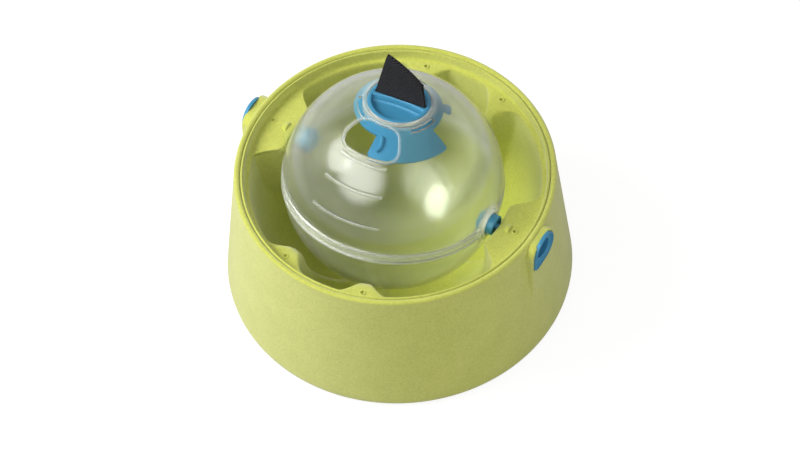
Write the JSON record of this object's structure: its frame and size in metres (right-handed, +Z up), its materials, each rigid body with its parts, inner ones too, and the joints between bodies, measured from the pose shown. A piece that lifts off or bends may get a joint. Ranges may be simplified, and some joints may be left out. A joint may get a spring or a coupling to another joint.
{
  "type": "tumbling treat feeder",
  "caption": "Clear hollow ball with a shuttered treat opening, tumbling on a horizontal axle inside a pocketed slow-feeder bowl, with a filling cap and webbing tab.",
  "frame": {"origin": "on the ground under the bowl's centre", "axes": "+Z up, X along the ball's axle, -Y towards the side that the treat opening leans to"},
  "size_m": [0.2546, 0.2546, 0.2129],
  "materials": {
    "bowl_plastic": "lime-green moulded plastic with a fine matt grain",
    "blue_plastic": "sky-blue moulded plastic, satin",
    "clear_plastic": "clear polished plastic",
    "tab_webbing": "black ribbed webbing",
    "foot_rubber": "dark soft rubber",
    "screw_steel": "bright zinc-plated steel"
  },
  "bodies": {
    "bowl": {"outer_shell": "bowl_plastic", "inner_tray": "bowl_plastic", "base_plate": "bowl_plastic", "base_screw_1": "screw_steel", "base_screw_2": "screw_steel", "base_screw_3": "screw_steel", "base_screw_4": "screw_steel", "base_screw_5": "screw_steel", "base_screw_6": "screw_steel", "rubber_foot_1": "foot_rubber", "rubber_foot_2": "foot_rubber", "rubber_foot_3": "foot_rubber", "rubber_foot_4": "foot_rubber"},
    "plug_right": {"axle_plug_right": "blue_plastic"},
    "plug_left": {"axle_plug_left": "blue_plastic"},
    "ball": {"upper_dome": "clear_plastic", "lower_dome": "clear_plastic", "axle_hub_right": "blue_plastic", "axle_hub_left": "blue_plastic"},
    "shutter": {"shutter": "blue_plastic"},
    "cap": {"cap": "blue_plastic", "pull_tab": "tab_webbing", "tab_anchor": "screw_steel"}
  },
  "joints": [
    {"name": "ball_tumble", "type": "hinge", "parent": "bowl", "child": "ball", "pos_m": [-0.002, 0, 0.10127], "axis": [1, 0, 0], "range_deg": [-180, 180], "deforming": ["pull_tab"]},
    {"name": "shutter_turn", "type": "hinge", "parent": "ball", "child": "shutter", "pos_m": [-0.002, 0, 0.10127], "axis": [0, 0.1685, 0.9857], "range_deg": [-33, 15]},
    {"name": "cap_turn", "type": "hinge", "parent": "ball", "child": "cap", "pos_m": [-0.002, 0, 0.10127], "axis": [0, 0.1685, 0.9857], "range_deg": [0, 60]},
    {"name": "plug_right_pull", "type": "slide", "parent": "bowl", "child": "plug_right", "axis": [1, 0, 0], "range_m": [0, 0.025]},
    {"name": "plug_left_pull", "type": "slide", "parent": "bowl", "child": "plug_left", "axis": [-1, 0, 0], "range_m": [0, 0.025]}
  ]
}
